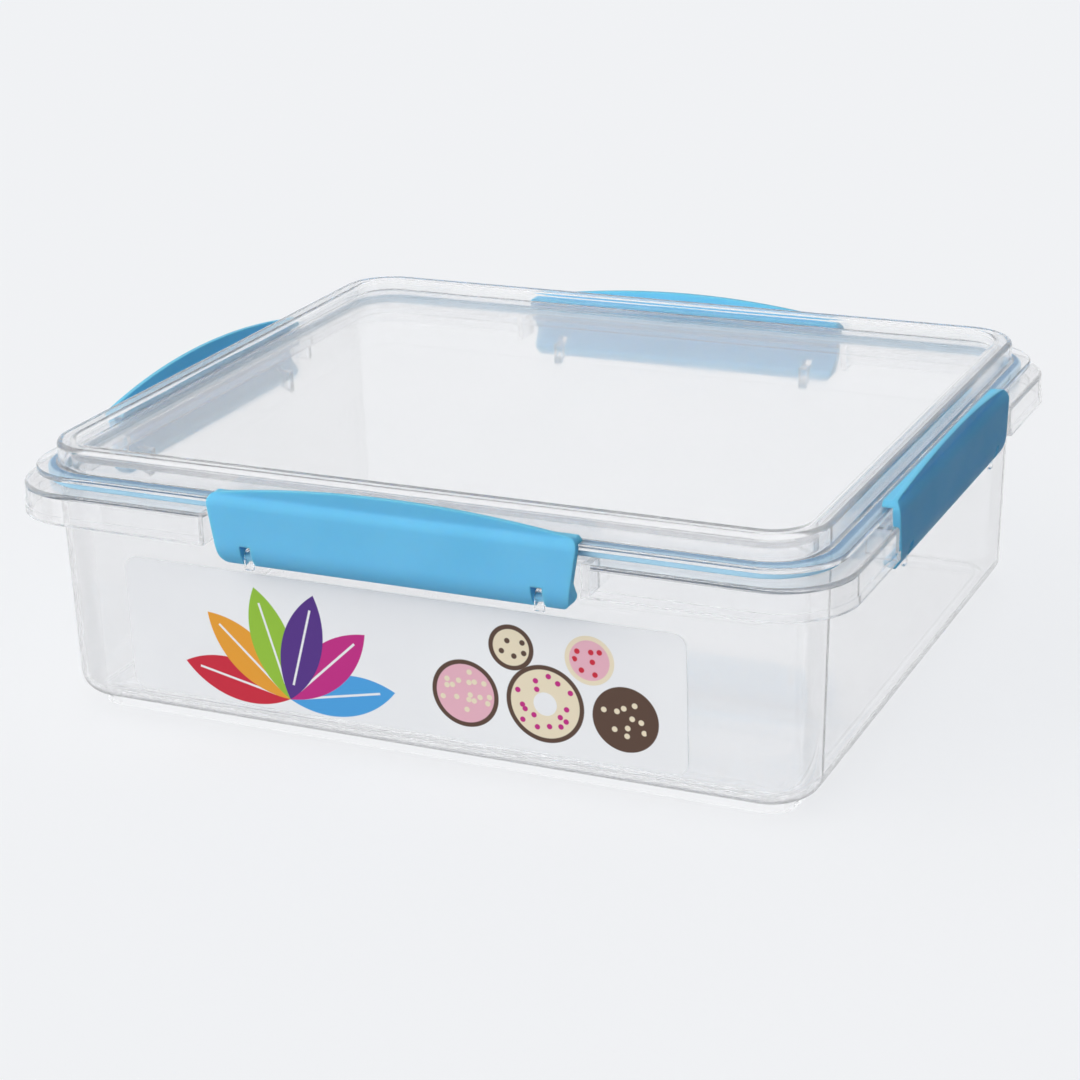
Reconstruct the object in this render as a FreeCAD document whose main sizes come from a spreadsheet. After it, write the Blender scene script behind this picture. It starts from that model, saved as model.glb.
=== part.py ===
"""Clear rectangular food box with a lid, a soft seal and four hinged clips.

Millimetres, +Z up.  The origin is the centre of the footprint, on the surface the
box stands on.  X runs along the long sides; the labelled front faces -Y.
"""
import FreeCAD, Part
import os
import Sketcher

# Driving dimensions: alias, value, what it measures.
SIZES = (
    ("tub_length", 244.5, "outside of the tub wall at the rim, along X"),
    ("tub_depth", 217.5, "outside of the tub wall at the rim, along Y"),
    ("tub_corner", 17.0, "outside corner radius of the tub wall at the rim"),
    ("rim_height", 74.2, "top of the rim above the surface"),
    ("wall", 1.8, "tub wall thickness"),
    ("draft", 1.45, "lean of the tub walls, degrees"),
    ("floor_thickness", 2.0, "tub floor thickness"),
    ("bottom_radius", 7.0, "outside radius where the walls meet the floor"),
    ("foot_height", 3.6, "foot ring below the floor"),
    ("foot_inset", 8.8, "foot ring inside the rim outline of the wall"),
    ("foot_wall", 1.8, "foot ring thickness"),
    ("rim_overhang", 9.0, "rim beyond the tub wall"),
    ("rim_thickness", 1.8, "rim plate thickness"),
    ("rim_corner", 22.0, "outside corner radius of the rim"),
    ("rim_round", 1.0, "rounding of the upper edge of the rim"),
    ("skirt_height", 9.5, "skirt hanging from the rim, rim plate included"),
    ("skirt_wall", 1.6, "skirt thickness"),
    ("bead_height", 2.6, "bead along the foot of the skirt"),
    ("bead_projection", 0.5, "bead beyond the skirt"),
    ("end_wall", 2.0, "web that closes the skirt beside a clip"),
    ("end_gap", 1.5, "room between a clip's end and the skirt"),
    ("seal_height", 2.8, "seal between the rim and the lid flange"),
    ("seal_width", 3.0, "seal section, across"),
    ("seal_fit", 0.1, "seal around the lid's lip"),
    ("seal_round", 0.8, "rounding of the seal's outer edges"),
    ("lip_gap", 0.5, "lid's seal lip above the rim"),
    ("lid_overhang", 5.6, "lid flange beyond the tub wall"),
    ("lid_flange", 1.6, "lid flange thickness"),
    ("lid_corner", 20.0, "outside corner radius of the lid flange"),
    ("lid_wall", 1.8, "lid panel and ridge thickness"),
    ("lid_edge_round", 0.6, "rounding of the lid flange's upper edge"),
    ("ridge_rise", 7.0, "ridge above the lid flange"),
    ("ridge_width", 5.8, "ridge across its top"),
    ("ridge_round", 1.6, "outer rounding of the ridge"),
    ("ridge_inner_round", 0.8, "inner rounding of the ridge"),
    ("ridge_root", 1.2, "fillet where the ridge meets the flange"),
    ("recess_depth", 3.5, "lid panel below the ridge"),
    ("plug_depth", 2.5, "lid's inner rib below the rim"),
    ("pin_radius", 1.2, "hinge pin of a clip"),
    ("pin_clearance", 0.08, "running clearance around a hinge pin"),
    ("pin_reach", 4.6, "hinge axis beyond the tub wall's rim outline"),
    ("pin_drop", 12.8, "hinge axis below the top of the rim"),
    ("hook_wall", 1.2, "hinge hook around its pin"),
    ("hook_width", 2.8, "hinge hook, along its pin"),
    ("hook_side_gap", 0.3, "room beside a hinge hook"),
    ("hook_inset", 12.0, "middle of a hinge hook from its clip's end"),
    ("hook_tail", 3.4, "front leg of a hook below the hinge axis"),
    ("hook_root_drop", 5.0, "foot of a hook on the wall, below the axis"),
    ("hook_throat", 2.6, "underside of a hook behind the pin, below the axis"),
    ("clip_length", 116.0, "clip at its widest"),
    ("clip_wall", 2.4, "clip thickness"),
    ("clip_side_gap", 0.8, "clip's inner face beyond the lid flange"),
    ("barrel_radius", 2.6, "round lower edge of a clip"),
    ("belly_bottom", 4.6, "start of a clip's flat face above the hinge axis"),
    ("belly_drop", 3.6, "end of a clip's flat face below its crease"),
    ("inner_root", 6.0, "start of a clip's flat inner face above the axis"),
    ("latch_gap", 0.3, "clip's latch above the lid flange"),
    ("latch_overlap", 2.4, "clip's latch over the lid flange"),
    ("latch_thickness", 1.7, "clip's latch thickness"),
    ("crease_inset", 1.5, "crease behind a clip's face"),
    ("crease_round", 1.2, "rounding inside a clip's crease"),
    ("lip_height", 5.0, "thumb lip above the latch, in the middle"),
    ("lip_flare", 1.4, "thumb lip's outward lean"),
    ("lip_wall", 1.5, "thumb lip thickness"),
    ("lip_arch", 5.0, "rise of the thumb lip from its ends to its middle"),
    ("clip_end_slant", 2.5, "how much each clip end draws in towards its hinge"),
    ("clip_end_corner", 4.0, "lower corner radius of a clip"),
    ("clip_top_corner", 3.0, "upper corner radius of a clip"),
    ("slot_height", 4.2, "top of a hook's slot above the hinge axis"),
    ("label_width", 180.0, "label along X"),
    ("label_height", 43.0, "label up the wall"),
    ("label_corner", 4.0, "label corner radius"),
    ("label_thickness", 0.2, "label film"),
    ("label_shift", -3.5, "label centre from the middle of the front"),
    ("label_margin", 0.4, "label above the wall's bottom radius"),
)

# Sides of the box, each a quarter turn about Z from the one before.
SIDES = ("front", "right", "back", "left")
QUARTER_TURN = 90

# Lengths that follow from the driving dimensions.
HALF_LENGTH = "Sizes.tub_length / 2"
HALF_DEPTH = "Sizes.tub_depth / 2"
RIM_TOP = "Sizes.rim_height"
DRAFT_SLOPE = "tan(Sizes.draft * 1 deg)"
FLANGE_BOTTOM = "Sizes.rim_height + Sizes.seal_height"
RIDGE_TOP = f"{FLANGE_BOTTOM} + Sizes.lid_flange + Sizes.ridge_rise"
PANEL_BOTTOM = f"{RIDGE_TOP} - Sizes.recess_depth - Sizes.lid_wall"
CLIP_GAP = "Sizes.clip_length + 2 * Sizes.end_gap"
SLOT_WIDTH = "Sizes.hook_width + 2 * Sizes.hook_side_gap"
HOOK_PLACE = "Sizes.clip_length / 2 - Sizes.hook_inset"
PIN_HEIGHT = "Sizes.rim_height - Sizes.pin_drop"

# Clip section: outward reach from the hinge axis and height above it.
FLANGE_REACH = "Sizes.lid_overhang - Sizes.pin_reach"
INNER_REACH = f"{FLANGE_REACH} + Sizes.clip_side_gap"
BELLY_REACH = f"{INNER_REACH} + Sizes.clip_wall"
CREASE_REACH = f"{BELLY_REACH} - Sizes.crease_inset"
LATCH_BOTTOM = "Sizes.pin_drop + Sizes.seal_height + Sizes.lid_flange + Sizes.latch_gap"
LATCH_TOP = f"{LATCH_BOTTOM} + Sizes.latch_thickness"
LIP_TOP = f"{LATCH_TOP} + Sizes.lip_height"

doc = FreeCAD.newDocument("food_box")
sheet = doc.addObject("Spreadsheet::Sheet", "Sizes")
for row, (alias, size, meaning) in enumerate(SIZES, 1):
    sheet.set(f"A{row}", meaning)
    sheet.set(f"B{row}", str(size))
    sheet.setAlias(f"B{row}", alias)
doc.recompute()


def number(expression):
    """Present value of an expression over the sheet."""
    result = sheet.evalExpression(expression)
    return float(getattr(result, "Value", result))


def new_body(name):
    """Empty body whose label is the name given."""
    body = doc.addObject("PartDesign::Body", name)
    body.Label = name
    return body


def new_sketch(body, name, role, height="0"):
    """Sketch on one of the body's own origin planes, raised by an expression."""
    sketch = body.newObject("Sketcher::SketchObject", name)
    planes = {plane.Role: plane for plane in body.Origin.OriginFeatures}
    sketch.AttachmentSupport = [(planes[role], "")]
    sketch.MapMode = "FlatFace"
    sketch.setExpression("AttachmentOffset.Base.z", height)
    return sketch


def bind(sketch, kind, where, expression):
    """Dimension in a sketch that follows an expression."""
    index = sketch.addConstraint(Sketcher.Constraint(kind, *where, number(expression)))
    name = f"size_{index}"
    sketch.renameConstraint(index, name)
    sketch.setExpression(f"Constraints.{name}", expression)


def pin_point(sketch, point, x=None, y=None):
    """Hold a sketch point at signed distances from the origin: (sign, expression) each."""
    origin = (-1, 1)
    for kind, place in (("DistanceX", x), ("DistanceY", y)):
        if place is not None:
            sign, expression = place
            where = (*origin, *point) if sign > 0 else (*point, *origin)
            bind(sketch, kind, where, expression)


def line(sketch, start, end):
    """Line segment between two (x, y) pairs; gives its index."""
    return sketch.addGeometry(Part.LineSegment(FreeCAD.Vector(*start, 0), FreeCAD.Vector(*end, 0)))


def arc(sketch, start, middle, end):
    """Arc through three (x, y) pairs; gives its index, counterclockwise or not."""
    points = [FreeCAD.Vector(*point, 0) for point in (start, middle, end)]
    return sketch.addGeometry(Part.Arc(*points))


def rounded_rectangle(sketch, half_length, half_depth, radius):
    """Outline centred on the sketch origin, with four equal corner arcs."""
    a, b, r = number(half_length), number(half_depth), number(radius)
    c = r * (1 - 0.5 ** 0.5)
    first = line(sketch, (r - a, -b), (a - r, -b))
    arc(sketch, (a - r, -b), (a - c, c - b), (a, r - b))
    right = line(sketch, (a, r - b), (a, b - r))
    arc(sketch, (a, b - r), (a - c, b - c), (a - r, b))
    top = line(sketch, (a - r, b), (r - a, b))
    arc(sketch, (r - a, b), (c - a, b - c), (-a, b - r))
    left = line(sketch, (-a, b - r), (-a, r - b))
    arc(sketch, (-a, r - b), (c - a, c - b), (r - a, -b))
    for step in range(8):
        following = first + (step + 1) % 8
        sketch.addConstraint(Sketcher.Constraint("Tangent", first + step, 2, following, 1))
    for level, upright in ((first, right), (top, left)):
        sketch.addConstraint(Sketcher.Constraint("Horizontal", level))
        sketch.addConstraint(Sketcher.Constraint("Vertical", upright))
    for corner in (3, 5, 7):
        sketch.addConstraint(Sketcher.Constraint("Equal", first + 1, first + corner))
    bind(sketch, "Radius", (first + 1,), radius)
    pin_point(sketch, (right, 1), x=(1, half_length))
    pin_point(sketch, (left, 1), x=(-1, half_length))
    pin_point(sketch, (top, 1), y=(1, half_depth))
    pin_point(sketch, (first, 1), y=(-1, half_depth))


def rectangle(sketch, x_near, x_far, y_near, y_far):
    """Upright rectangle between two corners; each place is (sign, expression)."""
    (x0, x1), (y0, y1) = (
        [sign * number(expression) for sign, expression in pair]
        for pair in ((x_near, x_far), (y_near, y_far))
    )
    corners = ((x0, y0), (x1, y0), (x1, y1), (x0, y1))
    first = line(sketch, corners[0], corners[1])
    for step in (1, 2, 3):
        line(sketch, corners[step], corners[(step + 1) % 4])
    for step in range(4):
        kind = "Horizontal" if step % 2 == 0 else "Vertical"
        following = first + (step + 1) % 4
        sketch.addConstraint(Sketcher.Constraint("Coincident", first + step, 2, following, 1))
        sketch.addConstraint(Sketcher.Constraint(kind, first + step))
    pin_point(sketch, (first, 1), x=x_near, y=y_near)
    pin_point(sketch, (first + 2, 1), x=x_far, y=y_far)


def outline_sketch(body, name, height, *outlines):
    """Level sketch of rounded rectangles, each an offset from the wall's rim outline and a radius."""
    sketch = new_sketch(body, name, "XY_Plane", height)
    for offset, radius in outlines:
        rounded_rectangle(sketch, f"{HALF_LENGTH} + {offset}", f"{HALF_DEPTH} + {offset}", radius)
    return sketch


def feature(body, kind, name, sketch, length, reverse=False, taper=None, both_ways=False):
    """Pad or pocket of a sketch; a pocket that takes nothing away is an error."""
    before = body.Shape.Volume if kind == "Pocket" else None
    item = body.newObject(f"PartDesign::{kind}", name)
    item.Profile = sketch
    item.setExpression("Length", length)
    item.Reversed = reverse
    item.Midplane = both_ways
    if taper is not None:
        item.setExpression("TaperAngle", taper)
    doc.recompute()
    if before is not None and item.Shape.Volume > before - 1:
        raise RuntimeError(f"{name} takes nothing away")
    return item


def pad(body, name, sketch, length, **options):
    """Material added from a sketch."""
    return feature(body, "Pad", name, sketch, length, **options)


def pocket(body, name, sketch, length, **options):
    """Material taken away from a sketch."""
    return feature(body, "Pocket", name, sketch, length, **options)


def level_edges(item, height, offset):
    """Names of the level edges at a height that follow one offset from the wall's rim outline."""
    z = number(height)
    reach = (number(f"{HALF_LENGTH} + {offset}"), number(f"{HALF_DEPTH} + {offset}"))
    tolerance = 0.05
    names = []
    for index, edge in enumerate(item.Shape.Edges, 1):
        box = edge.BoundBox
        level = abs(box.ZMin - z) < tolerance and abs(box.ZMax - z) < tolerance
        far_x = max(abs(box.XMin), abs(box.XMax))
        far_y = max(abs(box.YMin), abs(box.YMax))
        on_outline = abs(far_x - reach[0]) < tolerance or abs(far_y - reach[1]) < tolerance
        if level and on_outline:
            names.append(f"Edge{index}")
    return names


def fillet_edges(body, name, item, edges, radius):
    """Fillet on named edges of the latest feature."""
    fillet = body.newObject("PartDesign::Fillet", name)
    fillet.Base = (item, edges)
    fillet.setExpression("Radius", radius)
    doc.recompute()
    return fillet


def round_edges(body, name, item, height, offset, radius):
    """Fillet along one level outline of the latest feature."""
    return fillet_edges(body, name, item, level_edges(item, height, offset), radius)


def side_turn(side):
    """Turn about Z that brings the front to a side."""
    return FreeCAD.Rotation(FreeCAD.Vector(0, 0, 1), QUARTER_TURN * SIDES.index(side))


def outward(side):
    """X and Y of a side's outward direction, as whole numbers."""
    direction = side_turn(side).multVec(FreeCAD.Vector(0, -1, 0))
    return round(direction.x), round(direction.y)


def seat_on_side(item, side, along="0"):
    """Origin of an item on the hinge axis of one side, shifted along that side."""
    out_x, out_y = outward(side)
    item.Placement = FreeCAD.Placement(FreeCAD.Vector(), side_turn(side))
    reach_x = f"{out_x} * ({HALF_LENGTH} + Sizes.pin_reach)"
    reach_y = f"{out_y} * ({HALF_DEPTH} + Sizes.pin_reach)"
    item.setExpression("Placement.Base.x", f"{reach_x} + {-out_y} * ({along})")
    item.setExpression("Placement.Base.y", f"{reach_y} + {out_x} * ({along})")
    item.setExpression("Placement.Base.z", PIN_HEIGHT)


def side_blocks(sketch, near, far, blocks):
    """Rectangles on all four sides: reach from near to far, and (sign, start, sign, end) along."""
    for side in SIDES:
        out_x, out_y = outward(side)
        half = HALF_LENGTH if out_x else HALF_DEPTH
        reach = [(out_x + out_y, f"{half} + {offset}") for offset in (near, far)]
        for start_sign, start, end_sign, end in blocks:
            along = [(start_sign, start), (end_sign, end)]
            if out_x:
                rectangle(sketch, *reach, *along)
            else:
                rectangle(sketch, *along, *reach)


def make_tub_shell():
    """Tub wall, floor, foot ring, rim and skirt, without the hinge hooks."""
    body = new_body("tub_shell")
    depth = "Sizes.rim_height - Sizes.foot_height"
    sketch = outline_sketch(body, "wall_outline", RIM_TOP, ("0", "Sizes.tub_corner"))
    pad(body, "tub_block", sketch, depth, reverse=True, taper="-Sizes.draft")
    sketch = outline_sketch(
        body, "inside_outline", RIM_TOP, ("-Sizes.wall", "Sizes.tub_corner - Sizes.wall")
    )
    inside_depth = f"{depth} - Sizes.floor_thickness"
    hollow = pocket(body, "inside", sketch, inside_depth, taper="-Sizes.draft")
    floor_top = "Sizes.foot_height + Sizes.floor_thickness"
    inner_offset = f"-Sizes.wall - ({inside_depth}) * {DRAFT_SLOPE}"
    inner_radius = "Sizes.bottom_radius - Sizes.wall"
    hollow = round_edges(body, "inside_round", hollow, floor_top, inner_offset, inner_radius)
    outer_offset = f"-({depth}) * {DRAFT_SLOPE}"
    round_edges(body, "bottom_round", hollow, "Sizes.foot_height", outer_offset, "Sizes.bottom_radius")

    foot_corner = "Sizes.tub_corner - Sizes.foot_inset"
    sketch = outline_sketch(
        body, "foot_outline", "0",
        ("-Sizes.foot_inset", foot_corner),
        ("-Sizes.foot_inset - Sizes.foot_wall", f"{foot_corner} - Sizes.foot_wall"),
    )
    pad(body, "foot_ring", sketch, "Sizes.foot_height + Sizes.floor_thickness / 2")

    rim_edge = ("Sizes.rim_overhang", "Sizes.rim_corner")
    mid_wall = ("-Sizes.wall / 2", "Sizes.tub_corner - Sizes.wall / 2")
    sketch = outline_sketch(body, "rim_outline", RIM_TOP, rim_edge, mid_wall)
    plate = pad(body, "rim_plate", sketch, "Sizes.rim_thickness", reverse=True)
    round_edges(body, "rim_edge", plate, RIM_TOP, "Sizes.rim_overhang", "Sizes.rim_round")

    skirt_bottom = "Sizes.rim_height - Sizes.skirt_height"
    skirt_rise = "Sizes.skirt_height - Sizes.rim_round"
    inner_skirt = ("Sizes.rim_overhang - Sizes.skirt_wall", "Sizes.rim_corner - Sizes.skirt_wall")
    sketch = outline_sketch(body, "skirt_outline", skirt_bottom, rim_edge, inner_skirt)
    pad(body, "skirt", sketch, skirt_rise)
    bead_edge = (
        "Sizes.rim_overhang + Sizes.bead_projection", "Sizes.rim_corner + Sizes.bead_projection"
    )
    sketch = outline_sketch(body, "bead_outline", skirt_bottom, bead_edge, inner_skirt)
    pad(body, "bead", sketch, "Sizes.bead_height")

    half_gap = f"({CLIP_GAP}) / 2"
    clear_of_bead = "Sizes.rim_overhang + 2 * Sizes.bead_projection"
    sketch = new_sketch(body, "clip_gaps", "XY_Plane", RIM_TOP)
    side_blocks(sketch, "Sizes.lid_overhang", clear_of_bead, ((-1, half_gap, 1, half_gap),))
    pocket(body, "gap_cut", sketch, "Sizes.skirt_height")

    web_end = f"{half_gap} + Sizes.end_wall"
    webs = ((-1, web_end, -1, half_gap), (1, half_gap, 1, web_end))
    sketch = new_sketch(body, "end_webs", "XY_Plane", skirt_bottom)
    side_blocks(sketch, "-Sizes.wall / 2", "Sizes.rim_overhang", webs)
    pad(body, "end_walls", sketch, skirt_rise)
    return body


def make_hook(side, end):
    """Hinge hook that stands off the tub wall and hangs over a clip's pin."""
    body = new_body(f"hook_{side}_{'a' if end < 0 else 'b'}")
    eye = "Sizes.pin_radius + Sizes.pin_clearance"
    crown = f"{eye} + Sizes.hook_wall"
    root = f"Sizes.pin_reach + Sizes.pin_drop * {DRAFT_SLOPE} + Sizes.wall / 2"
    inner, outer, back = number(eye), number(crown), number(root)
    tail, foot, throat = (number(f"Sizes.hook_{part}") for part in ("tail", "root_drop", "throat"))
    slant = outer * 0.5 ** 0.5
    sketch = new_sketch(body, "hook_outline", "YZ_Plane")
    top = line(sketch, (back, outer), (0, outer))
    crown_arc = arc(sketch, (0, outer), (-slant, slant), (-outer, 0))
    leg_front = line(sketch, (-outer, 0), (-outer, -tail))
    leg_end = line(sketch, (-outer, -tail), (-inner, -tail))
    leg_back = line(sketch, (-inner, -tail), (-inner, 0))
    eye_arc = arc(sketch, (-inner, 0), (0, inner), (inner, 0))
    throat_side = line(sketch, (inner, 0), (inner, -throat))
    under = line(sketch, (inner, -throat), (back, -foot))
    wall_side = line(sketch, (back, -foot), (back, outer))
    corners = ((leg_front, leg_end), (leg_end, leg_back), (throat_side, under),
               (under, wall_side), (wall_side, top))
    for before, after in corners:
        sketch.addConstraint(Sketcher.Constraint("Coincident", before, 2, after, 1))
    for upright in (leg_front, leg_back, throat_side, wall_side):
        sketch.addConstraint(Sketcher.Constraint("Vertical", upright))
    for level in (top, leg_end):
        sketch.addConstraint(Sketcher.Constraint("Horizontal", level))
    sketch.addConstraint(Sketcher.Constraint("Tangent", top, 2, crown_arc, 1))
    sketch.addConstraint(Sketcher.Constraint("Tangent", crown_arc, 2, leg_front, 1))
    sketch.addConstraint(Sketcher.Constraint("Tangent", leg_back, 2, eye_arc, 2))
    sketch.addConstraint(Sketcher.Constraint("Tangent", eye_arc, 1, throat_side, 1))
    for curve, radius in ((crown_arc, crown), (eye_arc, eye)):
        sketch.addConstraint(Sketcher.Constraint("Coincident", curve, 3, -1, 1))
        bind(sketch, "Radius", (curve,), radius)
    pin_point(sketch, (wall_side, 1), x=(1, root), y=(-1, "Sizes.hook_root_drop"))
    pin_point(sketch, (under, 1), y=(-1, "Sizes.hook_throat"))
    pin_point(sketch, (leg_end, 1), y=(-1, "Sizes.hook_tail"))
    pad(body, "hook_plate", sketch, "Sizes.hook_width", both_ways=True)
    seat_on_side(body, side, f"{end} * ({HOOK_PLACE})")
    return body


def make_tub():
    """Tub in one piece with its eight hinge hooks."""
    pieces = [make_tub_shell()]
    pieces += [make_hook(side, end) for side in SIDES for end in (-1, 1)]
    tub = doc.addObject("Part::MultiFuse", "base_tub")
    tub.Label = "base_tub"
    tub.Shapes = pieces
    return tub


def make_lid():
    """Lid: flange, hollow ridge, sunken panel, inner rib and seal lip."""
    body = new_body("lid")
    flange_corner = "Sizes.lid_corner"
    ridge_corner = "Sizes.tub_corner"
    sketch = outline_sketch(body, "flange_outline", FLANGE_BOTTOM, ("Sizes.lid_overhang", flange_corner))
    flange = pad(body, "flange", sketch, "Sizes.lid_flange")
    flange_top = f"{FLANGE_BOTTOM} + Sizes.lid_flange"
    round_edges(body, "flange_edge", flange, flange_top, "Sizes.lid_overhang", "Sizes.lid_edge_round")

    sketch = outline_sketch(body, "ridge_outline", FLANGE_BOTTOM, ("0", ridge_corner))
    ridge = pad(body, "ridge", sketch, "Sizes.lid_flange + Sizes.ridge_rise")
    crown = round_edges(body, "ridge_crown", ridge, RIDGE_TOP, "0", "Sizes.ridge_round")
    round_edges(body, "ridge_foot", crown, flange_top, "0", "Sizes.ridge_root")

    inner = "-Sizes.ridge_width"
    inner_corner = f"{ridge_corner} - Sizes.ridge_width"
    sketch = outline_sketch(body, "recess_outline", RIDGE_TOP, (inner, inner_corner))
    recess = pocket(body, "recess", sketch, "Sizes.recess_depth")
    round_edges(body, "ridge_inner_edge", recess, RIDGE_TOP, inner, "Sizes.ridge_inner_round")

    under = ("-Sizes.lid_wall", f"{ridge_corner} - Sizes.lid_wall")
    sketch = outline_sketch(body, "underside_outline", FLANGE_BOTTOM, under)
    pocket(body, "underside", sketch, f"{PANEL_BOTTOM} - ({FLANGE_BOTTOM})", reverse=True)

    rib_outer = (f"{inner} + Sizes.lid_wall", f"{inner_corner} + Sizes.lid_wall")
    sketch = outline_sketch(body, "groove_outline", PANEL_BOTTOM, under, rib_outer)
    pocket(body, "ridge_groove", sketch, "Sizes.recess_depth", reverse=True)

    rib_bottom = "Sizes.rim_height - Sizes.plug_depth"
    sketch = outline_sketch(body, "rib_outline", rib_bottom, rib_outer, (inner, inner_corner))
    pad(body, "inner_rib", sketch, f"{PANEL_BOTTOM} + Sizes.lid_wall / 2 - ({rib_bottom})")

    lip_bottom = "Sizes.rim_height + Sizes.lip_gap"
    sketch = outline_sketch(body, "lip_outline", lip_bottom, ("0", ridge_corner), under)
    pad(body, "seal_lip", sketch, f"{flange_top} - ({lip_bottom})")
    return body


def make_seal():
    """Soft loop around the lid's lip, between the rim and the lid flange."""
    body = new_body("seal")
    inner = ("Sizes.seal_fit", "Sizes.tub_corner + Sizes.seal_fit")
    outer_offset = "Sizes.seal_fit + Sizes.seal_width"
    outer = (outer_offset, f"Sizes.tub_corner + {outer_offset}")
    sketch = outline_sketch(body, "seal_outline", RIM_TOP, outer, inner)
    loop = pad(body, "seal_loop", sketch, "Sizes.seal_height")
    upper = round_edges(body, "seal_upper", loop, FLANGE_BOTTOM, outer_offset, "Sizes.seal_round")
    round_edges(body, "seal_lower", upper, RIM_TOP, outer_offset, "Sizes.seal_round")
    return body


def traced_outline(sketch, points, middles):
    """Closed outline through pinned points, counterclockwise; a point with a middle starts an arc."""
    names = list(points)
    at = {
        name: tuple(sign * number(expression) for sign, expression in place)
        for name, place in points.items()
    }
    edges = {}
    for name, following in zip(names, names[1:] + names[:1]):
        if name in middles:
            edges[name] = arc(sketch, at[name], middles[name], at[following])
        else:
            edges[name] = line(sketch, at[name], at[following])
    for name, following in zip(names, names[1:] + names[:1]):
        sketch.addConstraint(Sketcher.Constraint("Coincident", edges[name], 2, edges[following], 1))
        x, y = points[name]
        pin_point(sketch, (edges[name], 1), x=x, y=y)
    return edges


def draw_clip_section(sketch):
    """Section of a clip: latch, thumb lip, rounded face and hinge barrel; outward is -X here."""
    tip = (1, f"Sizes.latch_overlap - ({FLANGE_REACH})")
    lip_reach = f"{CREASE_REACH} + Sizes.lip_flare"
    low = (1, "Sizes.belly_bottom")
    high = (1, f"{LATCH_TOP} - Sizes.belly_drop")
    half = "Sizes.barrel_radius / 2"
    most = "Sizes.barrel_radius * sqrt(3) / 2"
    points = {
        "tip_low": (tip, (1, LATCH_BOTTOM)),
        "tip_high": (tip, (1, LATCH_TOP)),
        "lip_root": ((-1, f"{CREASE_REACH} - Sizes.lip_wall"), (1, LATCH_TOP)),
        "lip_in": ((-1, f"{lip_reach} - Sizes.lip_wall"), (1, LIP_TOP)),
        "lip_out": ((-1, lip_reach), (1, LIP_TOP)),
        "crease": ((-1, CREASE_REACH), (1, LATCH_TOP)),
        "belly_high": ((-1, BELLY_REACH), high),
        "belly_low": ((-1, BELLY_REACH), low),
        "barrel_out": ((-1, most), (-1, half)),
        "barrel_in": ((1, half), (1, most)),
        "inner_low": ((-1, INNER_REACH), (1, "Sizes.inner_root")),
        "inner_high": ((-1, INNER_REACH), (1, LATCH_BOTTOM)),
    }
    radius = number("Sizes.barrel_radius")
    belly = number(BELLY_REACH)
    shoulder, foot = number("Sizes.crease_inset"), belly - number(most)
    rise = number("Sizes.belly_drop")
    fall = number("Sizes.belly_bottom") + number(half)
    quarter = 0.25
    middles = {
        "crease": (quarter * shoulder - belly, number(high[1]) + rise / 2),
        "belly_low": (quarter * foot - belly, number(low[1]) - fall / 2),
        "barrel_out": (radius * 0.5 ** 0.5, -radius * 0.5 ** 0.5),
    }
    edges = traced_outline(sketch, points, middles)
    for curve in ("crease", "belly_low"):
        sketch.addConstraint(Sketcher.Constraint("Tangent", edges[curve], edges["belly_high"]))
    bind(sketch, "Radius", (edges["barrel_out"],), "Sizes.barrel_radius")


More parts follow.
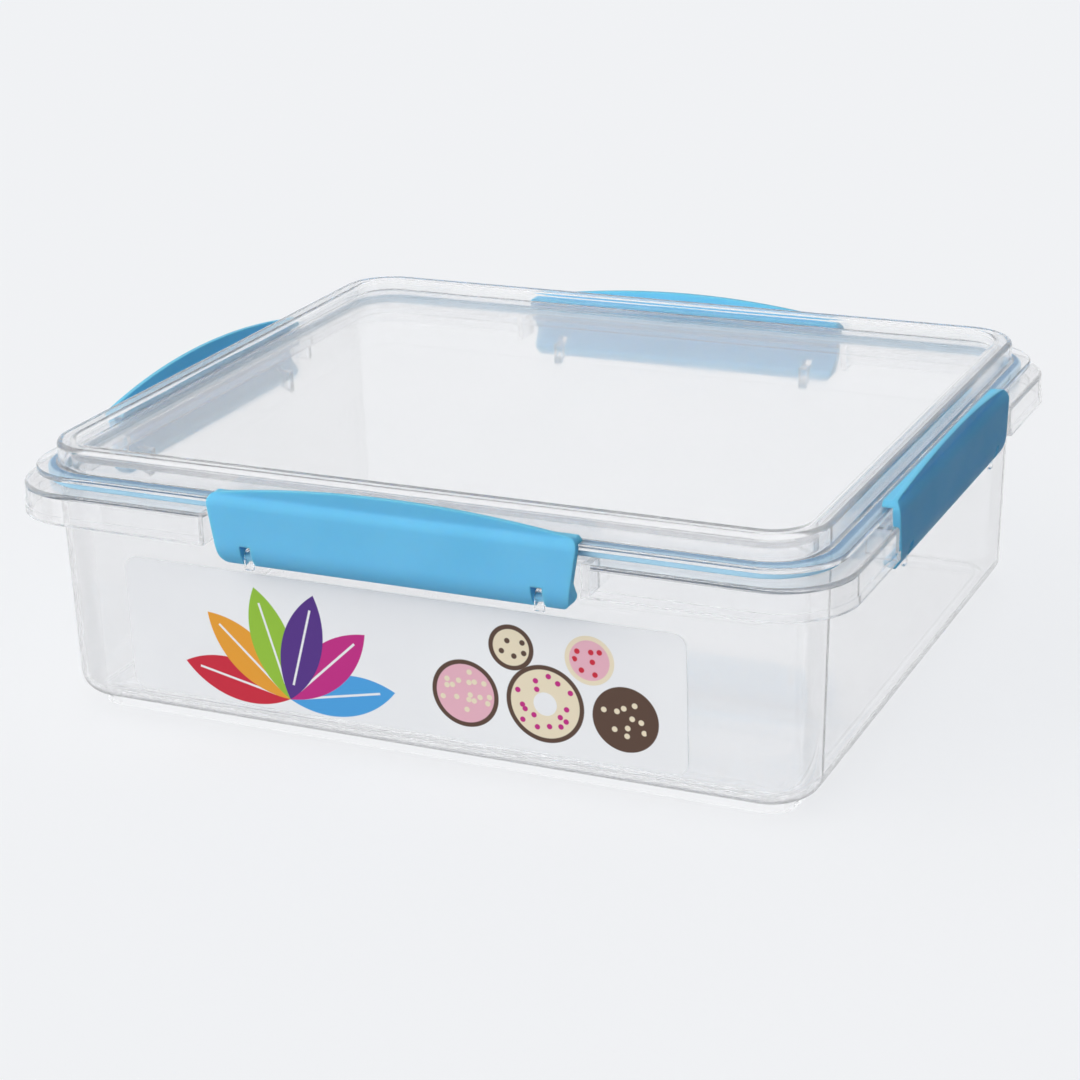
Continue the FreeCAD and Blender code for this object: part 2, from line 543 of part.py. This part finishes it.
def draw_clip_front(sketch):
    """Front view of a clip: slanted ends, round corners and an arched top."""
    half_length = "Sizes.clip_length / 2"
    bottom_half = f"{half_length} - Sizes.clip_end_slant - Sizes.clip_end_corner"
    arch_radius = f"(({half_length}) ^ 2 + Sizes.lip_arch ^ 2) / (2 * Sizes.lip_arch)"
    base = -number("Sizes.barrel_radius")
    low_half, wide = number(bottom_half), number(half_length)
    low_r, top_r = number("Sizes.clip_end_corner"), number("Sizes.clip_top_corner")
    peak, big = number(LIP_TOP), number(arch_radius)
    shoulder_x = wide - top_r
    shoulder_z = peak - big + (big ** 2 - shoulder_x ** 2) ** 0.5
    bend = 1 - 0.5 ** 0.5
    floor_line = line(sketch, (-low_half, base), (low_half, base))
    edges = [floor_line]
    edges.append(arc(
        sketch, (low_half, base), (low_half + low_r * (1 - bend), base + low_r * bend),
        (low_half + low_r, base + low_r),
    ))
    edges.append(line(sketch, (low_half + low_r, base + low_r), (wide, shoulder_z - top_r)))
    edges.append(arc(
        sketch, (wide, shoulder_z - top_r), (wide - top_r * bend, shoulder_z - top_r * bend),
        (shoulder_x, shoulder_z),
    ))
    edges.append(arc(sketch, (shoulder_x, shoulder_z), (0, peak), (-shoulder_x, shoulder_z)))
    edges.append(arc(
        sketch, (-shoulder_x, shoulder_z), (top_r * bend - wide, shoulder_z - top_r * bend),
        (-wide, shoulder_z - top_r),
    ))
    edges.append(line(sketch, (-wide, shoulder_z - top_r), (-low_half - low_r, base + low_r)))
    edges.append(arc(
        sketch, (-low_half - low_r, base + low_r),
        (low_r * (bend - 1) - low_half, base + low_r * bend), (-low_half, base),
    ))
    for before, after in zip(edges, edges[1:] + edges[:1]):
        sketch.addConstraint(Sketcher.Constraint("Tangent", before, 2, after, 1))
    low_right, right, top_right, arch, top_left, left, low_left = edges[1:]
    sketch.addConstraint(Sketcher.Constraint("Symmetric", floor_line, 1, floor_line, 2, -2))
    pin_point(sketch, (floor_line, 2), x=(1, bottom_half), y=(-1, "Sizes.barrel_radius"))
    for corner, twin, radius in (
        (low_right, low_left, "Sizes.clip_end_corner"), (top_right, top_left, "Sizes.clip_top_corner"),
    ):
        bind(sketch, "Radius", (corner,), radius)
        sketch.addConstraint(Sketcher.Constraint("Equal", corner, twin))
    sketch.addConstraint(Sketcher.Constraint("PointOnObject", arch, 3, -2))
    bind(sketch, "Radius", (arch,), arch_radius)
    pin_point(sketch, (arch, 3), y=(-1, f"{arch_radius} - ({LIP_TOP})"))
    pin_point(sketch, (right, 2), x=(1, half_length))
    pin_point(sketch, (left, 1), x=(-1, half_length))


def crease_edges(item):
    """Names of the edges along a clip's crease."""
    tolerance = 0.01
    names = []
    for index, edge in enumerate(item.Shape.Edges, 1):
        middle = edge.CenterOfMass
        at_reach = abs(middle.y + number(CREASE_REACH)) < tolerance
        at_height = abs(middle.z - number(LATCH_TOP)) < tolerance
        if at_reach and at_height:
            names.append(f"Edge{index}")
    return names


def make_clip(side):
    """Side clip that swings on its own pin, with a slot for each hinge hook."""
    body = new_body(f"clip_{side}")
    across = f"4 * ({BELLY_REACH} + Sizes.barrel_radius)"
    sketch = new_sketch(body, "clip_section", "YZ_Plane")
    draw_clip_section(sketch)
    bar = pad(body, "clip_bar", sketch, "Sizes.clip_length", both_ways=True)
    fillet_edges(body, "crease_fillet", bar, crease_edges(bar), "Sizes.crease_round")

    sketch = new_sketch(body, "clip_front", "XZ_Plane")
    draw_clip_front(sketch)
    spare = "Sizes.clip_wall"
    frame_x = f"Sizes.clip_length / 2 + {spare}"
    frame_low = f"Sizes.barrel_radius + {spare}"
    rectangle(
        sketch, (-1, frame_x), (1, frame_x), (-1, frame_low), (1, f"{LIP_TOP} + {spare}")
    )
    pocket(body, "clip_trim", sketch, across, both_ways=True)

    sketch = new_sketch(body, "hook_slots", "XZ_Plane")
    near = f"{HOOK_PLACE} - ({SLOT_WIDTH}) / 2"
    far = f"{HOOK_PLACE} + ({SLOT_WIDTH}) / 2"
    for sign in (-1, 1):
        rectangle(sketch, (sign, near), (sign, far), (-1, frame_low), (1, "Sizes.slot_height"))
    pocket(body, "slot_cut", sketch, across, both_ways=True)

    sketch = new_sketch(body, "pin_outline", "YZ_Plane")
    circle = Part.Circle(FreeCAD.Vector(), FreeCAD.Vector(0, 0, 1), number("Sizes.pin_radius"))
    ring = sketch.addGeometry(circle)
    sketch.addConstraint(Sketcher.Constraint("Coincident", ring, 3, -1, 1))
    bind(sketch, "Radius", (ring,), "Sizes.pin_radius")
    pad(body, "hinge_pin", sketch, f"2 * ({HOOK_PLACE} + {SLOT_WIDTH})", both_ways=True)
    seat_on_side(body, side)
    return body


def make_label():
    """Film on the front wall, leaning with it."""
    body = new_body("label")
    half_width = "Sizes.label_width / 2"
    half_height = "Sizes.label_height / 2"
    sketch = new_sketch(body, "label_outline", "XY_Plane")
    rounded_rectangle(sketch, half_width, half_height, "Sizes.label_corner")
    pad(body, "film", sketch, "Sizes.label_thickness")
    lean = number("Sizes.draft")
    body.Placement = FreeCAD.Placement(
        FreeCAD.Vector(), FreeCAD.Rotation(FreeCAD.Vector(1, 0, 0), 90 + lean)
    )
    middle = (
        "Sizes.foot_height + Sizes.bottom_radius + Sizes.label_margin"
        f" + {half_height} * cos(Sizes.draft * 1 deg)"
    )
    body.setExpression("Placement.Rotation.Angle", "90 + Sizes.draft")
    body.setExpression("Placement.Base.x", "Sizes.label_shift")
    body.setExpression(
        "Placement.Base.y", f"-({HALF_DEPTH}) + (Sizes.rim_height - ({middle})) * {DRAFT_SLOPE}"
    )
    body.setExpression("Placement.Base.z", middle)
    return body


nodes = [make_tub(), make_lid(), make_seal(), make_label()]
nodes += [make_clip(side) for side in SIDES]
doc.recompute()

for item in doc.Objects:
    if "Invalid" in item.State or "Error" in item.State:
        raise RuntimeError(f"{item.Name} did not build: {item.State}")
os.makedirs("parts", exist_ok=True)
for node in nodes:
    if node.Shape.isNull() or not node.Shape.isValid() or len(node.Shape.Solids) != 1:
        raise RuntimeError(f"{node.Label} is not one valid solid")
    node.Shape.exportStep(f"parts/{node.Label}.step")
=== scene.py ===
"""Looks for the clear food box: plastics, seal, printed label, studio floor and camera."""

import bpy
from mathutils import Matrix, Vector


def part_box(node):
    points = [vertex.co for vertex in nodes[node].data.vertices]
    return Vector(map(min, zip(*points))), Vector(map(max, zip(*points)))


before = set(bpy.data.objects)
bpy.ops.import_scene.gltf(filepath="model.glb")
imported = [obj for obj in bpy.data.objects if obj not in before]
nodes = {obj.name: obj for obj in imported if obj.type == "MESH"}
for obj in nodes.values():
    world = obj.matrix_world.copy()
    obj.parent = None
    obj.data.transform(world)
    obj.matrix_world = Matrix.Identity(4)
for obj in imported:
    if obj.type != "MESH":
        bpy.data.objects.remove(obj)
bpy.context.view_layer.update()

import math

import bpy
from mathutils import Matrix, Vector

scene = bpy.context.scene

# Camera, in metres, degrees and millimetres of lens, fitted to the photograph's straight edges
CAMERA_PLACE = Vector((0.3352, -0.7501, 0.3328))
CAMERA_AZIMUTH = 26.14
CAMERA_ELEVATION = 19.97
CAMERA_ROLL = -2.03
CAMERA_LENS = 90.5
CAMERA_SENSOR = 36
CAMERA_SHIFT = (0.0699, 0.0004)
CAMERA_REACH = 50

# Studio: backdrop and floor where they are seen, straight or by way of clear pieces
BACKDROP = (0.905, 0.913, 0.930)
FLOOR_TONES = ((0.900, 0.908, 0.925), BACKDROP)
FLOOR_REACH = 6.0
FLOOR_ROUGHNESS = 0.9

# Floor: how much of its shadow shows outright and through clear pieces, and the light it gives back
SHADOW_SHARE = 0.24
SHADOW_SHARE_THROUGH = 0.02
FLOOR_BOUNCE = (0.26, 0.285, 0.335)

# Studio light: even light, then soft lights as level, fall-off and direction
AMBIENT = (0.090, 0.118, 0.155)
LIGHT_COLOUR = (1.0, 0.985, 0.960)
SOFT_LIGHTS = (
    (2.85, 3.0, Vector((-0.48, -0.85, 0.55)).normalized()),
    (0.85, 2.0, Vector((-0.45, 0.85, 0.25)).normalized()),
)

# Light paths: clear pieces pass light on many times
CLEAR_BOUNCES = 96
DIFFUSE_BOUNCES = 8

# Noise: its roughness, and the span of its values that is mapped to a range or to two tones
NOISE_ROUGHNESS = 0.55
RANGE_SPAN = (0.3, 0.7)
TONE_SPAN = (0.35, 0.65)

# Clear plastic: alpha and greying density per piece, then what the pieces share
TUB_ALPHA, TUB_DENSITY = 0.83, 18.0
LID_ALPHA, LID_DENSITY = 0.93, 8.0
CLEAR_IOR = 1.45
CLEAR_TRANSMISSION = 0.985
CLEAR_TONES = ((0.985, 0.989, 0.992), (0.996, 0.997, 1.0))
CLEAR_TO_LIGHT = (0.93, 0.94, 0.95)
CLEAR_GREYING = (0.50, 0.50, 0.52)

# Painted shade on the rounded bottom edge, in place of the dark under the box seen through it:
# colour, height it reaches, and the slopes of its curve from wall to underside
BOTTOM_SHADE_COLOUR = (0.20, 0.205, 0.215)
BOTTOM_SHADE_HEIGHT = 0.014
BOTTOM_SHADE_SLOPES = (-0.30, -0.90)
UNDERSIDE_SLOPE = -0.97

# Clips and seal
CLIP_TONES = ((0.165, 0.54, 0.82), (0.18, 0.56, 0.845))
CLIP_IOR = 1.49
CLIP_SPECULAR = 0.015
CLIP_SCATTER = 0.6
CLIP_SCATTER_RADIUS = (0.5, 0.8, 1.0)
CLIP_SCATTER_SCALE = 0.004
CLIP_EDGE_RADIUS = 0.0007
CLIP_EDGE_SAMPLES = 4
CLIP_GRAIN_STRENGTH = 0.10
CLIP_GRAIN_HEIGHT = 0.0001
SEAL_TONES = ((0.38, 0.65, 0.84), (0.42, 0.68, 0.86))
SEAL_IOR = 1.42

# Print on the label, in millimetres from its lower left corner and linear colours
PAPER = (0.90, 0.90, 0.905)
PAPER_TONES = (PAPER, (0.93, 0.93, 0.93))
RED = (0.60, 0.010, 0.035)
ORANGE = (0.83, 0.35, 0.025)
GREEN = (0.30, 0.54, 0.035)
PURPLE = (0.075, 0.015, 0.22)
MAGENTA = (0.54, 0.012, 0.22)
BLUE = (0.065, 0.36, 0.75)
CREAM = (0.86, 0.75, 0.55)
PINK = (0.83, 0.46, 0.54)
COCOA = (0.085, 0.040, 0.022)
MILLIMETRES = 1000.0
PRINT_EDGE = 0.12

# Petals: foot of the fan, half length and half width, the line along the middle, colours and angles
FAN_FOOT = (54.0, 4.0)
PETAL_HALF = (18.0, 6.6)
LINE_SHARE = 0.72
LINE_HALF_WIDTH = 0.35
PETALS = ((RED, 168), (BLUE, 12), (ORANGE, 137), (MAGENTA, 43), (GREEN, 106), (PURPLE, 74))

# Biscuits: centre, radius, colours of edge, top and marks, and the radius of the hole
BISCUITS = (
    ((127.0, 31.5), 7.0, COCOA, CREAM, COCOA, 0),
    ((151.0, 31.0), 7.5, CREAM, PINK, RED, 0),
    ((112.0, 15.0), 10.5, COCOA, PINK, CREAM, 0),
    ((161.5, 14.5), 10.0, COCOA, COCOA, CREAM, 0),
    ((137.0, 15.5), 12.0, COCOA, CREAM, MAGENTA, 3.6),
)
BISCUIT_EDGE = 1.4
MARK_SCALE = 0.28
MARK_RADIUS = 0.85
MARK_SCATTER = 0.8
MARK_INSET = 2.6
MARK_HOLE_GAP = 1.2


def shader_tree(name):
    """New material, its node tree and its main shader."""
    material = bpy.data.materials.new(name)
    material.use_nodes = True
    tree = material.node_tree
    return material, tree, tree.nodes["Principled BSDF"]


def preset(node, **values):
    """Set inputs of a node to constants, with _ for each space in an input's name."""
    for name, value in values.items():
        node.inputs[name.replace("_", " ")].default_value = value


def maths(tree, operation, *values):
    """Math node over sockets and numbers."""
    node = tree.nodes.new("ShaderNodeMath")
    node.operation = operation
    for socket, value in zip(node.inputs, values):
        if isinstance(value, bpy.types.NodeSocket):
            tree.links.new(value, socket)
        else:
            socket.default_value = value
    return node.outputs["Value"]


def noise(tree, scale, detail=3.0):
    """Noise over the object's own coordinates."""
    place = tree.nodes.new("ShaderNodeTexCoord")
    texture = tree.nodes.new("ShaderNodeTexNoise")
    preset(texture, Scale=scale, Detail=detail, Roughness=NOISE_ROUGHNESS)
    tree.links.new(place.outputs["Object"], texture.inputs["Vector"])
    return texture.outputs["Fac"]


def map_range(tree, source, span, low, high):
    """Map a span of values to a range."""
    ranged = tree.nodes.new("ShaderNodeMapRange")
    preset(ranged, From_Min=span[0], From_Max=span[1], To_Min=low, To_Max=high)
    tree.links.new(source, ranged.inputs["Value"])
    return ranged


def spread(tree, source, low, high):
    """Map a noise value to a range."""
    return map_range(tree, source, RANGE_SPAN, low, high).outputs["Result"]


def two_tone(tree, source, tones):
    """Blend two colours by a noise value."""
    ramp = tree.nodes.new("ShaderNodeValToRGB")
    for element, position, tone in zip(ramp.color_ramp.elements, TONE_SPAN, tones):
        element.position = position
        element.color = (*tone, 1)
    tree.links.new(source, ramp.inputs["Fac"])
    return ramp.outputs["Color"]


def mixed(tree, factor, first, second):
    """Mix of two shaders."""
    mix = tree.nodes.new("ShaderNodeMixShader")
    for socket, source in zip(mix.inputs, (factor, first, second)):
        tree.links.new(source, socket)
    return mix.outputs["Shader"]


def painted(tree, under, mask, colour):
    """Colour laid over another one where the mask is 1."""
    mix = tree.nodes.new("ShaderNodeMix")
    mix.data_type = "RGBA"
    tree.links.new(mask, mix.inputs["Factor"])
    tree.links.new(under, mix.inputs["A"])
    mix.inputs["B"].default_value = (*colour, 1)
    return mix.outputs["Result"]


def parts_of(tree, socket):
    """The three parts of a vector."""
    apart = tree.nodes.new("ShaderNodeSeparateXYZ")
    tree.links.new(socket, apart.inputs[0])
    return apart.outputs


def painted_bottom_shade(tree):
    """Mask of the rounded bottom edge, where painted grey shade stands in for the dark under the
    box seen through the plastic.
    """
    place = tree.nodes.new("ShaderNodeTexCoord")
    facing = parts_of(tree, place.outputs["Normal"])["Z"]
    curved = map_range(tree, facing, BOTTOM_SHADE_SLOPES, 0.0, 1.0)
    curved.interpolation_type = "SMOOTHSTEP"
    height = parts_of(tree, place.outputs["Object"])["Z"]
    low = maths(tree, "LESS_THAN", height, BOTTOM_SHADE_HEIGHT)
    round_part = maths(tree, "GREATER_THAN", facing, UNDERSIDE_SLOPE)
    edge = maths(tree, "MULTIPLY", low, round_part)
    return maths(tree, "MULTIPLY", curved.outputs["Result"], edge)


def clear_plastic(name, alpha, density, bottom_shaded):
    """Clear plastic that lets lamp light in and greys a little along the light's way."""
    material, tree, shader = shader_tree(name)
    preset(shader, IOR=CLEAR_IOR, Transmission_Weight=CLEAR_TRANSMISSION, Alpha=alpha)
    colour = two_tone(tree, noise(tree, scale=14.0, detail=2.0), CLEAR_TONES)
    # Painted shade: the rounded bottom edge is greyed where the dark under the box would show
    # through it.
    if bottom_shaded:
        colour = painted(tree, colour, painted_bottom_shade(tree), BOTTOM_SHADE_COLOUR)
    tree.links.new(colour, shader.inputs["Base Color"])
    roughness = spread(tree, noise(tree, scale=60.0), low=0.02, high=0.05)
    tree.links.new(roughness, shader.inputs["Roughness"])
    shadow = tree.nodes.new("ShaderNodeLightPath").outputs["Is Shadow Ray"]
    clear = tree.nodes.new("ShaderNodeBsdfTransparent")
    preset(clear, Color=(*CLEAR_TO_LIGHT, 1))
    surface = mixed(tree, shadow, shader.outputs["BSDF"], clear.outputs["BSDF"])
    grey = tree.nodes.new("ShaderNodeVolumeAbsorption")
    preset(grey, Color=(*CLEAR_GREYING, 1), Density=density)
    output = tree.nodes["Material Output"]
    tree.links.new(surface, output.inputs["Surface"])
    tree.links.new(grey.outputs["Volume"], output.inputs["Volume"])
    return material


def moulded_plastic(name, tones):
    """Coloured moulded plastic with soft edges and a fine satin texture."""
    material, tree, shader = shader_tree(name)
    preset(
        shader,
        IOR=CLIP_IOR,
        Specular_IOR_Level=CLIP_SPECULAR,
        Subsurface_Weight=CLIP_SCATTER,
        Subsurface_Radius=CLIP_SCATTER_RADIUS,
        Subsurface_Scale=CLIP_SCATTER_SCALE,
    )
    tree.links.new(two_tone(tree, noise(tree, scale=45.0), tones), shader.inputs["Base Color"])
    roughness = spread(tree, noise(tree, scale=120.0), low=0.32, high=0.42)
    tree.links.new(roughness, shader.inputs["Roughness"])
    edge = tree.nodes.new("ShaderNodeBevel")
    edge.samples = CLIP_EDGE_SAMPLES
    preset(edge, Radius=CLIP_EDGE_RADIUS)
    relief = tree.nodes.new("ShaderNodeBump")
    preset(relief, Strength=CLIP_GRAIN_STRENGTH, Distance=CLIP_GRAIN_HEIGHT)
    tree.links.new(noise(tree, scale=2600.0, detail=2.0), relief.inputs["Height"])
    tree.links.new(edge.outputs["Normal"], relief.inputs["Normal"])
    tree.links.new(relief.outputs["Normal"], shader.inputs["Normal"])
    return material


def soft_seal(name, tones):
    """Silicone with a soft sheen."""
    material, tree, shader = shader_tree(name)
    preset(shader, IOR=SEAL_IOR)
    tree.links.new(two_tone(tree, noise(tree, scale=80.0), tones), shader.inputs["Base Color"])
    roughness = spread(tree, noise(tree, scale=300.0), low=0.42, high=0.55)
    tree.links.new(roughness, shader.inputs["Roughness"])
    return material


def label_place(tree):
    """Place on the label in millimetres from its lower left corner: across and up."""
    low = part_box("label")[0]
    place = tree.nodes.new("ShaderNodeTexCoord")
    apart = parts_of(tree, place.outputs["Object"])
    joined = tree.nodes.new("ShaderNodeCombineXYZ")
    for source, target, origin in (("X", "X", low[0]), ("Z", "Y", low[2])):
        shifted = maths(tree, "SUBTRACT", apart[source], origin)
        tree.links.new(maths(tree, "MULTIPLY", shifted, MILLIMETRES), joined.inputs[target])
    return joined.outputs["Vector"]


def inside(tree, distance):
    """1 where a distance in millimetres is below zero, with a fine soft edge."""
    return map_range(tree, distance, (-PRINT_EDGE, PRINT_EDGE), 1.0, 0.0).outputs["Result"]


def disc_distance(tree, place, centre, radius):
    """Distance outside a disc."""
    apart = tree.nodes.new("ShaderNodeVectorMath")
    apart.operation = "DISTANCE"
    apart.inputs[1].default_value = (*centre, 0)
    tree.links.new(place, apart.inputs[0])
    return maths(tree, "SUBTRACT", apart.outputs["Value"], radius)


def petal_masks(tree, place, centre, angle, half_length, half_width):
    """Masks of a pointed petal and of the fine line along its middle."""
    turned = tree.nodes.new("ShaderNodeMapping")
    turned.vector_type = "TEXTURE"
    preset(turned, Location=(*centre, 0), Rotation=(0, 0, angle))
    tree.links.new(place, turned.inputs["Vector"])
    apart = parts_of(tree, turned.outputs["Vector"])
    radius = (half_length ** 2 + half_width ** 2) / (2 * half_width)
    across = maths(tree, "ABSOLUTE", apart["Y"])
    from_middle = maths(tree, "ADD", across, radius - half_width)
    squares = maths(tree, "POWER", from_middle, 2.0)
    along = maths(tree, "MULTIPLY", apart["X"], apart["X"])
    reach = maths(tree, "SQRT", maths(tree, "ADD", squares, along))
    petal = inside(tree, maths(tree, "SUBTRACT", reach, radius))
    from_centre = maths(tree, "ABSOLUTE", apart["X"])
    line_end = maths(tree, "SUBTRACT", from_centre, half_length * LINE_SHARE)
    line_side = maths(tree, "SUBTRACT", across, LINE_HALF_WIDTH)
    line = inside(tree, maths(tree, "MAXIMUM", line_end, line_side))
    return petal, line


def crumbs(tree, place):
    """Mask of small scattered round marks, and the middle of the nearest one."""
    cells = tree.nodes.new("ShaderNodeTexVoronoi")
    cells.voronoi_dimensions = "2D"
    preset(cells, Scale=MARK_SCALE, Randomness=MARK_SCATTER)
    tree.links.new(place, cells.inputs["Vector"])
    from_rim = maths(tree, "MULTIPLY_ADD", cells.outputs["Distance"], 1 / MARK_SCALE, -MARK_RADIUS)
    return inside(tree, from_rim), cells.outputs["Position"]


def fan(tree, place, colour):
    """Petals laid over a colour."""
    length, width = PETAL_HALF
    for petal_colour, degrees in PETALS:
        angle = math.radians(degrees)
        centre = (FAN_FOOT[0] + length * math.cos(angle), FAN_FOOT[1] + length * math.sin(angle))
        petal, line = petal_masks(tree, place, centre, angle, length, width)
        colour = painted(tree, colour, petal, petal_colour)
        colour = painted(tree, colour, line, PAPER)
    return colour


def biscuits(tree, place, colour):
    """Round biscuits laid over a colour; a mark is left out whole where it would meet an edge."""
    for centre, radius, edge, top, marks, hole in BISCUITS:
        whole = inside(tree, disc_distance(tree, place, centre, radius))
        colour = painted(tree, colour, whole, edge)
        iced = inside(tree, disc_distance(tree, place, centre, radius - BISCUIT_EDGE))
        colour = painted(tree, colour, iced, top)
        mask, middle = crumbs(tree, place)
        past_inset = disc_distance(tree, middle, centre, radius - MARK_INSET)
        dotted = maths(tree, "MULTIPLY", mask, maths(tree, "LESS_THAN", past_inset, 0.0))
        if hole:
            past_hole = disc_distance(tree, middle, centre, hole + MARK_HOLE_GAP)
            dotted = maths(tree, "MULTIPLY", dotted, maths(tree, "GREATER_THAN", past_hole, 0.0))
        colour = painted(tree, colour, dotted, marks)
        if hole:
            opening = inside(tree, disc_distance(tree, place, centre, hole))
            colour = painted(tree, colour, opening, PAPER)
    return colour


def label_film(name):
    """White film, printed on its front: a fan of coloured petals and a few round biscuits."""
    material, tree, shader = shader_tree(name)
    place = label_place(tree)
    colour = two_tone(tree, noise(tree, scale=25.0), PAPER_TONES)
    colour = biscuits(tree, place, fan(tree, place, colour))
    surface = tree.nodes.new("ShaderNodeTexCoord")
    back = maths(tree, "GREATER_THAN", parts_of(tree, surface.outputs["Normal"])["Y"], 0.0)
    colour = painted(tree, colour, back, PAPER)
    tree.links.new(colour, shader.inputs["Base Color"])
    roughness = spread(tree, noise(tree, scale=200.0), low=0.35, high=0.45)
    tree.links.new(roughness, shader.inputs["Roughness"])
    return material


def finish_node(name, material):
    """Give a CAD node one material."""
    item = nodes[name]
    item.data.materials.clear()
    item.data.materials.append(material)


def seen_share(tree, outright=1.0, through=1.0):
    """Shares for rays from the camera and by way of gloss and clear pieces, and 0 for the rest."""
    path = tree.nodes.new("ShaderNodeLightPath").outputs
    bent = maths(tree, "MAXIMUM", path["Is Glossy Ray"], path["Is Transmission Ray"])
    straight = maths(tree, "MULTIPLY", path["Is Camera Ray"], outright)
    return maths(tree, "MAXIMUM", straight, maths(tree, "MULTIPLY", bent, through))


def make_floor():
    """Large pale floor that keeps a light shadow."""
    mesh = bpy.data.meshes.new("floor")
    low, high = -FLOOR_REACH, FLOOR_REACH
    corners = [(low, low, 0), (high, low, 0), (high, high, 0), (low, high, 0)]
    mesh.from_pydata(corners, [], [(0, 1, 2, 3)])
    floor = bpy.data.objects.new("floor", mesh)
    scene.collection.objects.link(floor)
    material, tree, shader = shader_tree("floor_pale")
    shade = tree.nodes.new("ShaderNodeMix")
    shade.data_type = "RGBA"
    shade.inputs["A"].default_value = (*FLOOR_BOUNCE, 1)
    tree.links.new(seen_share(tree), shade.inputs["Factor"])
    tree.links.new(two_tone(tree, noise(tree, scale=3.0), FLOOR_TONES), shade.inputs["B"])
    tree.links.new(shade.outputs["Result"], shader.inputs["Base Color"])
    preset(shader, Roughness=FLOOR_ROUGHNESS, Specular_IOR_Level=0.0)
    glow = tree.nodes.new("ShaderNodeEmission")
    preset(glow, Color=(*BACKDROP, 1))
    share = seen_share(tree, 1 - SHADOW_SHARE, 1 - SHADOW_SHARE_THROUGH)
    surface = mixed(tree, share, shader.outputs["BSDF"], glow.outputs["Emission"])
    tree.links.new(surface, tree.nodes["Material Output"].inputs["Surface"])
    mesh.materials.append(material)


def make_world():
    """Studio surround, pale where it is seen, with soft light from the front left and behind."""
    world = bpy.data.worlds.new("studio")
    scene.world = world
    world.use_nodes = True
    tree = world.node_tree
    lit = tree.nodes["Background"]
    preset(lit, Color=(*LIGHT_COLOUR, 1))
    place = tree.nodes.new("ShaderNodeTexCoord")
    strength = 0.0
    for level, power, direction in SOFT_LIGHTS:
        facing = tree.nodes.new("ShaderNodeVectorMath")
        facing.operation = "DOT_PRODUCT"
        facing.inputs[1].default_value = direction
        tree.links.new(place.outputs["Generated"], facing.inputs[0])
        towards = maths(tree, "MAXIMUM", facing.outputs["Value"], 0.0)
        falling = maths(tree, "POWER", towards, power)
        strength = maths(tree, "MULTIPLY_ADD", falling, level, strength)
    tree.links.new(strength, lit.inputs["Strength"])
    even = tree.nodes.new("ShaderNodeBackground")
    preset(even, Color=(*AMBIENT, 1))
    light = tree.nodes.new("ShaderNodeAddShader")
    tree.links.new(lit.outputs["Background"], light.inputs[0])
    tree.links.new(even.outputs["Background"], light.inputs[1])
    backdrop = tree.nodes.new("ShaderNodeBackground")
    preset(backdrop, Color=(*BACKDROP, 1), Strength=1.0)
    surface = mixed(
        tree, seen_share(tree), light.outputs["Shader"], backdrop.outputs["Background"]
    )
    tree.links.new(surface, tree.nodes["World Output"].inputs["Surface"])


def make_camera():
    """Camera at the photograph's viewpoint."""
    azimuth, elevation = math.radians(CAMERA_AZIMUTH), math.radians(CAMERA_ELEVATION)
    backward = Vector((
        math.sin(azimuth) * math.cos(elevation),
        -math.cos(azimuth) * math.cos(elevation),
        math.sin(elevation),
    ))
    right = Vector((math.cos(azimuth), math.sin(azimuth), 0))
    up = backward.cross(right)
    turn = Matrix((right, up, backward)).transposed()
    turn = turn @ Matrix.Rotation(math.radians(CAMERA_ROLL), 3, "Z")
    data = bpy.data.cameras.new("camera")
    data.lens = CAMERA_LENS
    data.sensor_width = CAMERA_SENSOR
    data.shift_x, data.shift_y = CAMERA_SHIFT
    data.clip_end = CAMERA_REACH
    camera = bpy.data.objects.new("camera", data)
    camera.matrix_world = Matrix.Translation(CAMERA_PLACE) @ turn.to_4x4()
    scene.collection.objects.link(camera)
    scene.camera = camera


# The tub's rounded bottom edge gets painted shade; the lid gets none.
finish_node("base_tub", clear_plastic("tub_plastic", TUB_ALPHA, TUB_DENSITY, bottom_shaded=True))
finish_node("lid", clear_plastic("lid_plastic", LID_ALPHA, LID_DENSITY, bottom_shaded=False))
finish_node("seal", soft_seal("seal_silicone", SEAL_TONES))
clip_material = moulded_plastic("clip_plastic", CLIP_TONES)
for side in ("front", "right", "back", "left"):
    finish_node(f"clip_{side}", clip_material)
finish_node("label", label_film("label_print"))
make_floor()
make_world()
make_camera()
scene.view_settings.view_transform = "Standard"
scene.cycles.max_bounces = CLEAR_BOUNCES
scene.cycles.transmission_bounces = CLEAR_BOUNCES
scene.cycles.glossy_bounces = CLEAR_BOUNCES
scene.cycles.diffuse_bounces = DIFFUSE_BOUNCES
